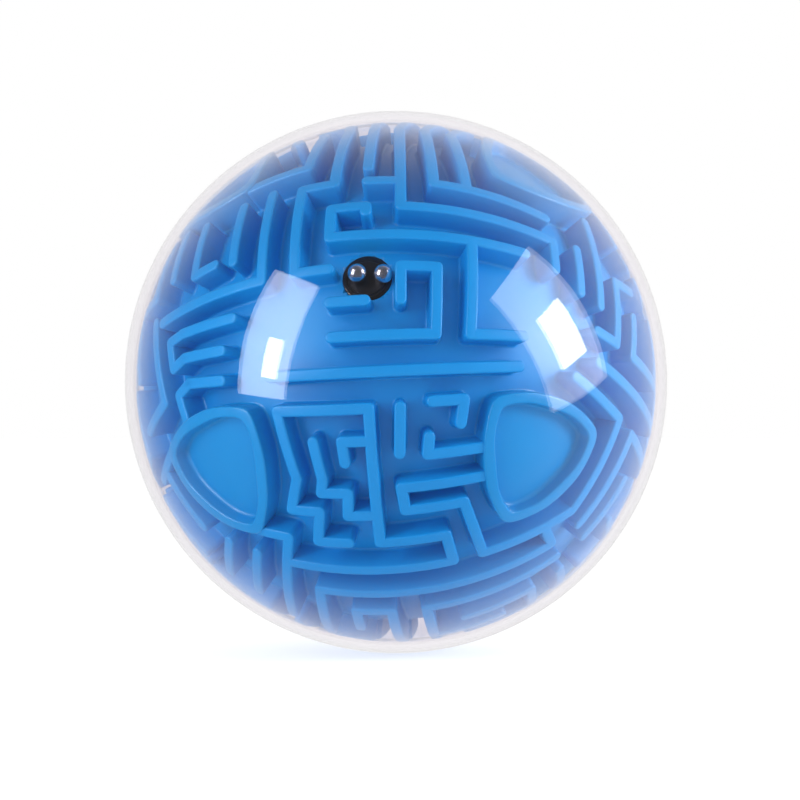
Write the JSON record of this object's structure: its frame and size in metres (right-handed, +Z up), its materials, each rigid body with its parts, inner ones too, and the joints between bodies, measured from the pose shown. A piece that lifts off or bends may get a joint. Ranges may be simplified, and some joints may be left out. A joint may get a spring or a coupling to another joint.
{
  "type": "spherical tilt maze",
  "caption": "Clear ball around a raised-wall blue maze ball; loose steel balls roll along the channels as it is tilted in the hands.",
  "frame": {"origin": "centre of the ball", "axes": "+Z up, -Y towards the viewer of the pictured side; the shell seam lies in the plane y = 0"},
  "size_m": [0.12, 0.12, 0.12],
  "materials": {
    "clear_plastic": "polished clear",
    "blue_plastic": "moulded, satin gloss",
    "cap_plastic": "moulded, satin gloss",
    "core_plastic": "as moulded",
    "pad_plastic": "as moulded",
    "steel": "polished"
  },
  "bodies": {
    "maze": {"shell_front": "clear_plastic", "shell_rear": "clear_plastic", "panel_front": "blue_plastic", "panel_right": "blue_plastic", "panel_back": "blue_plastic", "panel_left": "blue_plastic", "panel_top": "blue_plastic", "panel_bottom": "blue_plastic", "cap_front_right_top": "cap_plastic", "cap_front_left_top": "cap_plastic", "cap_front_right_bottom": "cap_plastic", "cap_front_left_bottom": "cap_plastic", "cap_back_right_top": "cap_plastic", "cap_back_left_top": "cap_plastic", "cap_back_right_bottom": "cap_plastic", "cap_back_left_bottom": "cap_plastic", "core_upper": "core_plastic", "core_lower": "core_plastic", "start_pad": "pad_plastic"},
    "ball_a": {"ball_a": "steel"},
    "ball_b": {"ball_b": "steel"}
  },
  "joints": [
    {"name": "ball_a_roll", "type": "hinge", "parent": "maze", "child": "ball_a", "pos_m": [0, 0, 0], "axis": [-0.9893, 0.1323, -0.0609], "range_deg": [-3.7, 4.1]},
    {"name": "ball_b_roll", "type": "hinge", "parent": "maze", "child": "ball_b", "pos_m": [0, 0, 0], "axis": [-0.9988, 0.0436, -0.02], "range_deg": [-10.8, 4.5]}
  ]
}
